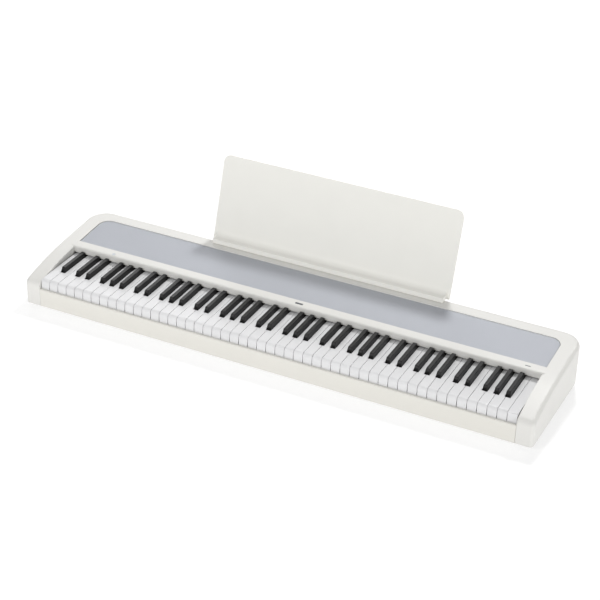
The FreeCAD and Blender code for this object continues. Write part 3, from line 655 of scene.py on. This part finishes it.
REST_LEAN = math.radians(16)
REST_SHEET = 4.5 * MM
REST_FOOT = PANEL_TOP + 0.5 * MM
REST_CORNER = 18 * MM
REST_EDGE = 1.1 * MM
LEDGE_HALF = 309 * MM
LEDGE_FRONT = CASE_LOW.y + 316 * MM
LEDGE_TOP = CASE_LOW.z + 118 * MM
LEDGE_BEND = 12 * MM
LEDGE_LIP = 1.6 * MM
LEDGE_CLEARANCE = 0.6 * MM
TONGUE_MIDDLE = 200 * MM
TONGUE_HALF = 30 * MM
TONGUE_FRONT = CASE_LOW.y + 319 * MM
TONGUE_BACK = CASE_LOW.y + 323.6 * MM


def rest_face(height):
    """Depth of the rest's front face at a height."""
    return REST_HIGH.y - REST_SHEET * math.cos(REST_LEAN) - (REST_HIGH.z - height) * math.tan(REST_LEAN)


def bar(points, half):
    """A bar with a section of (depth, height) points, from -half to half along X."""
    part = bmesh.new()
    part.faces.new([part.verts.new((-half, y, z)) for y, z in points])
    pull(part, part.faces, (2 * half, 0, 0))
    return part


def rest_plate():
    """The leaning sheet, with rounded upper corners and softened edges."""
    foot_back = rest_face(REST_FOOT) + REST_SHEET / math.cos(REST_LEAN)
    plate = bar([(rest_face(REST_FOOT), REST_FOOT), (rest_face(REST_HIGH.z), REST_HIGH.z),
                 (REST_HIGH.y, REST_HIGH.z - REST_SHEET * math.sin(REST_LEAN)),
                 (foot_back, REST_FOOT)], REST_HIGH.x)

    def on_upper_corner(middle, run):
        return middle.z > REST_HIGH.z - 3 * MM and abs(run.length - REST_SHEET) < 0.1 * MM

    round_over(plate, sharp_edges(plate, on_upper_corner), REST_CORNER, 10)
    round_over(plate, sharp_edges(plate), REST_EDGE, 3)
    return plate


def rest_ledge():
    """The shelf that holds the music, swept up into the sheet."""
    low = panel_height(LEDGE_FRONT) + LEDGE_CLEARANCE
    inside = 2 * MM
    proud = 0.05 * MM
    bend_back = rest_face(LEDGE_TOP) - proud
    bend_top = LEDGE_TOP + LEDGE_BEND + 1 * MM
    ledge = bar([(LEDGE_FRONT, low), (LEDGE_FRONT, LEDGE_TOP), (bend_back, LEDGE_TOP),
                 (rest_face(bend_top) - proud, bend_top), (rest_face(bend_top) + inside, bend_top),
                 (rest_face(REST_FOOT) + inside, REST_FOOT)], LEDGE_HALF)

    def in_bend(middle, run):
        return abs(middle.y - bend_back) < MERGE and abs(middle.z - LEDGE_TOP) < MERGE

    def on_front(middle, run):
        return abs(middle.y - LEDGE_FRONT) < MERGE

    round_over(ledge, sharp_edges(ledge, in_bend), LEDGE_BEND, 8)
    round_over(ledge, sharp_edges(ledge, on_front), LEDGE_LIP, 4)
    return ledge


def rest_tongue(middle):
    """One of the two tongues that drop into the slots of the case."""
    tongue = block((middle - TONGUE_HALF, TONGUE_FRONT, REST_LOW.z),
                   (middle + TONGUE_HALF, TONGUE_BACK, CASE_HIGH.z + 2 * MM))
    round_over(tongue, tongue.edges, 0.8 * MM)
    return tongue


def make_rest():
    parts = [rest_plate(), rest_ledge(), rest_tongue(-TONGUE_MIDDLE), rest_tongue(TONGUE_MIDDLE)]
    to_piece(combined(parts), "rest_panel", "rest", "music_rest", ["music_rest"])


# ---------------------------------------------------------------- controls and fittings

def make_power_button():
    low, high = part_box("power_button")
    middle = (low + high) / 2
    radius = (high.x - low.x) / 2
    top = 0.5 * MM
    foot = -8.5 * MM
    section = [(0, foot), (radius, foot), (radius, top - 0.5 * MM),
               (radius - 0.15 * MM, top - 0.15 * MM), (radius - 0.5 * MM, top),
               (radius - 1.0 * MM, top - 0.05 * MM), (radius - 2.2 * MM, top - 0.35 * MM),
               (0, top - 0.55 * MM)]
    cap = turned(section, panel_frame(middle.x, BUTTON_DEPTH))
    to_piece(cap, "power_cap", "button_grey", "power_button", ["power_button"])


def rear_facing(across, height, depth):
    """Turns a spun shape so that its axis points to the rear."""
    return Matrix.Translation((across, depth, height)) @ Matrix.Rotation(-math.pi / 2, 4, "X")


def make_volume_knob():
    low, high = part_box("volume_knob")
    middle = (low + high) / 2
    radius, length = (high.x - low.x) / 2, high.y - CASE_HIGH.y
    place = rear_facing(middle.x, middle.z, CASE_HIGH.y)
    skirt_top = 2.4 * MM
    grip_top = length - 1.0 * MM
    section = [(0, 0.3 * MM), (radius, 0.3 * MM), (radius, 2.0 * MM), (radius - 0.8 * MM, skirt_top),
               (radius - 1.2 * MM, grip_top), (radius - 2.0 * MM, length - 0.1 * MM),
               (radius - 3.0 * MM, length), (0, length - 0.3 * MM)]
    cap = turned(section, Matrix.Identity(4), 72)
    grip = [face for face in cap.faces if skirt_top < face.calc_center_median().z < grip_top]
    grip.sort(key=lambda face: math.atan2(face.calc_center_median().y, face.calc_center_median().x))
    bmesh.ops.inset_individual(cap, faces=grip[::2], thickness=0.12 * MM, depth=-0.3 * MM)
    bmesh.ops.transform(cap, matrix=place, verts=cap.verts)
    to_piece(cap, "volume_cap", "control_white", "volume_knob", ["volume_knob"])

    pointer = block((-0.4 * MM, 1.5 * MM, length - 0.4 * MM),
                    (0.4 * MM, radius - 3.2 * MM, length - 0.02 * MM))
    round_over(pointer, pointer.edges, 0.15 * MM)
    bmesh.ops.transform(pointer, matrix=place @ Matrix.Rotation(math.pi, 4, "Z"), verts=pointer.verts)
    to_piece(pointer, "volume_pointer", "control_white", "volume_knob", finish=MARK_GREY)


def make_sound_button():
    low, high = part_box("sound_button")
    middle = (low + high) / 2
    radius, length = (high.x - low.x) / 2, high.y - low.y
    section = [(0, 0), (radius, 0), (radius, length - 0.8 * MM), (radius - 0.3 * MM, length - 0.25 * MM),
               (radius - 0.9 * MM, length), (0, length - 0.2 * MM)]
    cap = turned(section, rear_facing(middle.x, middle.z, low.y))
    to_piece(cap, "sound_cap", "control_white", "sound_button", ["sound_button"])


def solids_of(node):
    """The low and high corners of each separate solid of a CAD node."""
    mesh = copy_node(node)
    left = set(mesh.verts)
    boxes = []
    while left:
        reached, waiting = set(), [left.pop()]
        while waiting:
            vert = waiting.pop()
            reached.add(vert)
            neighbours = {edge.other_vert(vert) for edge in vert.link_edges}
            waiting += neighbours - reached
        left -= reached
        boxes.append([Vector([end(vert.co[i] for vert in reached) for i in range(3)])
                      for end in (min, max)])
    mesh.free()
    return boxes


def make_feet():
    feet = []
    for low, high in solids_of("rubber_feet"):
        radius, height = (high.x - low.x) / 2, high.z - low.z
        middle = (low + high) / 2
        hollow = 1.2 * MM
        section = [(0, hollow), (radius - 6 * MM, hollow), (radius - 5 * MM, 0), (radius - 1.8 * MM, 0),
                   (radius - 0.9 * MM, 0.4 * MM), (radius - 0.6 * MM, 2 * MM), (radius, height - 3 * MM),
                   (radius, height), (0, height)]
        feet.append(turned(section, Matrix.Translation((middle.x, middle.y, low.z)), 40))
    to_piece(combined(feet), "feet", "rubber", "case", ["rubber_feet"])


SCREW_SHANK = 1.6 * MM
SLOT_HALF = 1.5 * MM


def make_screws():
    """The case screws, each turned to a different angle, and the crosses in their heads, drawn as dark blocks
    of painted shade.
    """
    screws, slots = [], []
    for low, high in solids_of("case_screws"):
        radius, length = (high.x - low.x) / 2, high.z - low.z
        middle = (low + high) / 2
        section = [(0, 0.2 * MM), (radius - 1.2 * MM, 0), (radius - 0.5 * MM, 0.3 * MM),
                   (radius, 1.3 * MM), (SCREW_SHANK, 1.4 * MM), (SCREW_SHANK, length - 1.5 * MM), (0, length)]
        place = Matrix.Translation((middle.x, middle.y, low.z))
        screws.append(turned(section, place, 20))
        # Each cross is a shallow block in the dark inner finish. It is painted shade for the recess, whose
        # steel is the same as the head's.
        for turn in (0, math.pi / 2):
            slot = block((-SLOT_HALF, -0.3 * MM, 0.02 * MM), (SLOT_HALF, 0.3 * MM, 0.6 * MM))
            round_over(slot, sharp_edges(slot, standing), 0.25 * MM)
            spun = place @ Matrix.Rotation(turn + middle.x, 4, "Z")
            bmesh.ops.transform(slot, matrix=spun, verts=slot.verts)
            slots.append(slot)
    to_piece(combined(screws), "screws", "screws", "case", ["case_screws"])
    # The crosses take the dark inner finish as painted shade.
    to_piece(combined(slots), "screw_slots_painted_shade", "screws", "case", finish=FINISHES["inner_black"])


THREAD_CREST = 2.5 * MM
THREAD_ROOT = 2.8 * MM
THREAD_PITCH = 0.9 * MM
THREAD_TURNS = 9


def make_inserts():
    """Threaded sleeves in the underside, for a floor stand."""
    sleeves = []
    for low, high in solids_of("stand_inserts"):
        radius, height = (high.x - low.x) / 2, high.z - low.z
        middle = (low + high) / 2
        section = [(THREAD_CREST, height), (radius, height), (radius, 0.4 * MM),
                   (radius - 0.4 * MM, 0), (3.1 * MM, 0)]
        for turn in range(THREAD_TURNS):
            crest = 0.6 * MM + turn * THREAD_PITCH
            section.append((THREAD_CREST, crest))
            section.append((THREAD_ROOT, crest + THREAD_PITCH / 2))
        section.append(section[0])
        sleeves.append(turned(section, Matrix.Translation((middle.x, middle.y, low.z))))
    to_piece(combined(sleeves), "threaded_inserts", "brass", "case", ["stand_inserts"])


def make_socket_collars():
    """The flange of each socket on the rear wall."""
    for name, node, slot, bore in (("phone_collars", "phone_sockets", "screws", 3.2 * MM),
                                   ("power_collar", "power_inlet", "inner_black", 2.75 * MM)):
        collars = []
        for low, high in solids_of(node):
            outer, proud, foot = bore + 2.6 * MM, 0.8 * MM, 0.05 * MM
            section = [(bore, foot), (outer, foot), (outer, 0.5 * MM), (outer - 0.3 * MM, proud),
                       (bore + 0.5 * MM, proud), (bore, 0.4 * MM), (bore, foot)]
            collars.append(turned(section, rear_facing((low.x + high.x) / 2, SOCKET_HEIGHT, high.y)))
        to_piece(combined(collars), name, slot, "case")


# Each mark: its name, place along the strip, width and depth.
MARK_DEPTH = CASE_LOW.y + 170 * MM
MARKS = [("middle_mark", 4 * MM, 20 * MM, 6 * MM), ("right_mark", 576 * MM, 13 * MM, 2.6 * MM)]


def make_marks():
    """Two small plain printed bars on the strip in front of the grille."""
    for name, across, wide, deep in MARKS:
        mark = block((-wide / 2, -deep / 2, -0.3 * MM), (wide / 2, deep / 2, 0.06 * MM))
        round_over(mark, sharp_edges(mark, standing), 0.8 * MM, 4)
        bmesh.ops.transform(mark, matrix=panel_frame(across, MARK_DEPTH), verts=mark.verts)
        to_piece(mark, name, "case", "case", finish=MARK_GREY)


# ---------------------------------------------------------------- nodes kept as they are

KEPT = {
    "speaker_baffle": "inner_black",
    "left_speaker_frame": "speaker_steel",
    "right_speaker_frame": "speaker_steel",
    "left_speaker_cone": "paper_cone",
    "right_speaker_cone": "paper_cone",
    "key_chassis": "inner_grey",
    "key_pivot_rail": "aluminium",
    "key_pivot_shaft": "shaft_steel",
    "hammer_pivot_shaft": "shaft_steel",
    "key_guides": "inner_grey",
    "key_stop_felt": "felt",
    "hammer_rest_felt": "felt",
    "contact_board": "circuit_board",
    "contact_rubber": "silicone",
    "main_board": "circuit_board",
    "amplifier_board": "circuit_board",
    "jack_board": "circuit_board",
    "phone_sockets": "inner_black",
    "power_inlet": "inner_black",
}


def finish_kept_nodes():
    for name, node in frame["nodes"].items():
        slot = KEPT.get(name)
        if "hammer" in name and name not in KEPT:
            slot = "hammers"
        if slot:
            for place in node.material_slots:
                place.material = FINISHES[slot].material


# ---------------------------------------------------------------- studio

CAMERA_PLACE = Vector((1.5073, -3.1784, 2.1462))
CAMERA_AIM = Vector((-0.0209, 0.0498, 0.0510))
CAMERA_ROLL = math.radians(1.75)
CAMERA_LENS = 102.69
CAMERA_SHIFT = (-0.0066, 0.0092)

SKY_STRENGTH = 0.4
FLOOR_GLOW = 0.6
FLOOR_RADIUS = 25

# Each disk lamp: its name, place, aim, width and power.
LAMPS = [
    ("rear_lamp", (0.0, 1.74, 2.73), (0, 0.05, 0.1), 0.45, 46),
    ("rear_left_lamp", (-2.2, 2.7, 1.7), (-0.4, 0, 0.1), 2.2, 24),
    ("front_lamp", (-1.1, -3.0, 1.9), (0, 0, 0.1), 2.0, 42),
    ("right_lamp", (5.2, -2.0, 1.0), (0.2, 0, 0.1), 2.4, 86),
]


def make_camera():
    data = bpy.data.cameras.new("camera")
    data.lens = CAMERA_LENS
    data.sensor_width = 36
    data.shift_x, data.shift_y = CAMERA_SHIFT
    data.clip_end = 100
    camera = bpy.data.objects.new("camera", data)
    bpy.context.scene.collection.objects.link(camera)
    look = (CAMERA_AIM - CAMERA_PLACE).normalized()
    level = look.cross(Vector((0, 0, 1))).normalized()
    plumb = level.cross(look)
    right = level * math.cos(CAMERA_ROLL) + plumb * math.sin(CAMERA_ROLL)
    up = plumb * math.cos(CAMERA_ROLL) - level * math.sin(CAMERA_ROLL)
    turn = Matrix((right, up, -look)).transposed().to_4x4()
    camera.matrix_world = Matrix.Translation(CAMERA_PLACE) @ turn
    bpy.context.scene.camera = camera


def add_lamp(name, place, aim, width, power):
    data = bpy.data.lights.new(name, "AREA")
    data.shape = "DISK"
    data.size = width
    data.energy = power
    lamp = bpy.data.objects.new(name, data)
    bpy.context.scene.collection.objects.link(lamp)
    lamp.location = place
    lamp.rotation_mode = "QUATERNION"
    lamp.rotation_quaternion = (Vector(aim) - Vector(place)).to_track_quat("-Z", "Y")


def make_studio():
    world = bpy.data.worlds.new("studio")
    world.use_nodes = True
    sky = world.node_tree.nodes["Background"]
    sky.inputs["Color"].default_value = (1.0, 1.0, 1.0, 1.0)
    sky.inputs["Strength"].default_value = SKY_STRENGTH
    bpy.context.scene.world = world

    ground = Finish("pale floor")
    dust = ground.noise(400 * MM, 3.0)
    ground.set(Base_Color=ground.blend(dust, tone(184, 184, 184), tone(188, 188, 188)),
               Roughness=0.9,
               Emission_Color=(1.0, 1.0, 1.0, 1.0),
               Emission_Strength=FLOOR_GLOW)
    mesh = bmesh.new()
    bmesh.ops.create_circle(mesh, cap_ends=True, segments=96, radius=FLOOR_RADIUS)
    data = bpy.data.meshes.new("floor")
    mesh.to_mesh(data)
    mesh.free()
    data.materials.append(ground.material)
    floor = bpy.data.objects.new("floor", data)
    bpy.context.scene.collection.objects.link(floor)

    for name, place, aim, width, power in LAMPS:
        add_lamp(name, place, aim, width, power)

    look = bpy.context.scene.view_settings
    look.view_transform = "Standard"
    look.look = "None"
    look.exposure = 0.0


make_case()
make_rail()
make_underside()
make_grille()
make_keys()
make_rest()
make_power_button()
make_volume_knob()
make_sound_button()
make_feet()
make_screws()
make_inserts()
make_socket_collars()
make_marks()
finish_kept_nodes()
make_camera()
make_studio()
